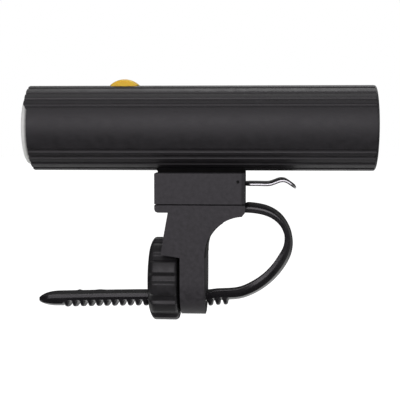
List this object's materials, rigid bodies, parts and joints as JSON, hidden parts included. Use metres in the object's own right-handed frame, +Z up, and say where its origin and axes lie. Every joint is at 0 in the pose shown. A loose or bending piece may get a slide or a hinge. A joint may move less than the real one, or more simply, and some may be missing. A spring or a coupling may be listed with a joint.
{
  "type": "bike headlight",
  "caption": "Grooved tube headlight with a domed button, on a slide-off socket and a handlebar saddle bracket that a toothed strap and a ring-nut knob clamp.",
  "frame": {"origin": "centre of the handlebar seat, on the lamp's middle plane", "axes": "+X along the lamp, to the rear, so the beam leaves toward -X; +Y along the handlebar; +Z up"},
  "size_m": [0.1066, 0.026, 0.0744],
  "materials": {
    "anodised": "satin",
    "lens": "frosted edge, clear face",
    "black_rubber": "matte",
    "bright_plastic": "metallised",
    "white_board": "matte",
    "phosphor": "glossy",
    "plain_aluminium": "machined",
    "dark_plastic": "matte",
    "green_board": "satin",
    "switch_metal": "satin",
    "amber_plastic": "satin",
    "cell_wrap": "satin wrap",
    "bright_steel": "brushed",
    "red_wire": "satin",
    "bracket_plastic": "fine matte",
    "dark_steel": "blackened",
    "knob_plastic": "matte",
    "strap_plastic": "matte"
  },
  "bodies": {
    "bracket": {"bracket_body": "bracket_plastic", "socket_block": "bracket_plastic", "keeper_pin": "dark_steel", "bracket_screws": "bright_steel", "saddle_pad": "black_rubber", "strap_loop": "strap_plastic"},
    "lamp": {"body_tube": "anodised", "lens": "lens", "lens_gasket": "black_rubber", "reflector": "bright_plastic", "led_board": "white_board", "led_emitter": "phosphor", "heat_sink": "plain_aluminium", "inner_frame": "dark_plastic", "control_board": "green_board", "push_switch": "switch_metal", "battery_cell": "cell_wrap", "battery_tabs": "bright_steel", "lead_wires": "red_wire", "charge_board": "green_board", "charge_port": "bright_steel", "end_cap": "dark_plastic", "end_cap_seal": "black_rubber", "mount_rail": "dark_plastic", "rail_screws": "bright_steel"},
    "power_button": {"power_button": "amber_plastic"},
    "port_cover": {"port_cover": "black_rubber"},
    "release_spring": {"release_spring": "bright_steel"},
    "knob": {"clamp_knob": "knob_plastic"},
    "strap": {"strap_tail": "strap_plastic"}
  },
  "joints": [
    {"name": "light_slide", "type": "slide", "parent": "bracket", "child": "lamp", "axis": [-1, 0, 0], "range_m": [0, 0.0245], "deforming": ["release_spring"]},
    {"name": "button_press", "type": "slide", "parent": "lamp", "child": "power_button", "axis": [0, 0, -1], "range_m": [0, 0.0008], "stiffness_N_per_m": 2500},
    {"name": "port_cover_hinge", "type": "hinge", "parent": "lamp", "child": "port_cover", "pos_m": [0.0385, 0, 0.03355], "axis": [0, 1, 0], "range_deg": [0, 90]},
    {"name": "spring_press", "type": "hinge", "parent": "bracket", "child": "release_spring", "pos_m": [-0.0204, 0, 0.0209], "axis": [0, 1, 0], "range_deg": [0, 4], "stiffness_Nm_per_rad": 1, "deforming": ["release_spring"]},
    {"name": "knob_spin", "type": "hinge", "parent": "bracket", "child": "knob", "pos_m": [-0.0242, 0, -0.0084], "axis": [1, 0, 0], "range_deg": [-1440, 1080], "deforming": ["strap_loop"]},
    {"name": "strap_feed", "type": "slide", "parent": "bracket", "child": "strap", "axis": [-1, 0, 0], "range_m": [-0.00975, 0.0073], "deforming": ["strap_loop"]}
  ],
  "couplings": [
    {"joint": "strap_feed", "follows": "knob_spin", "m_per_rad": 0.00038515}
  ]
}
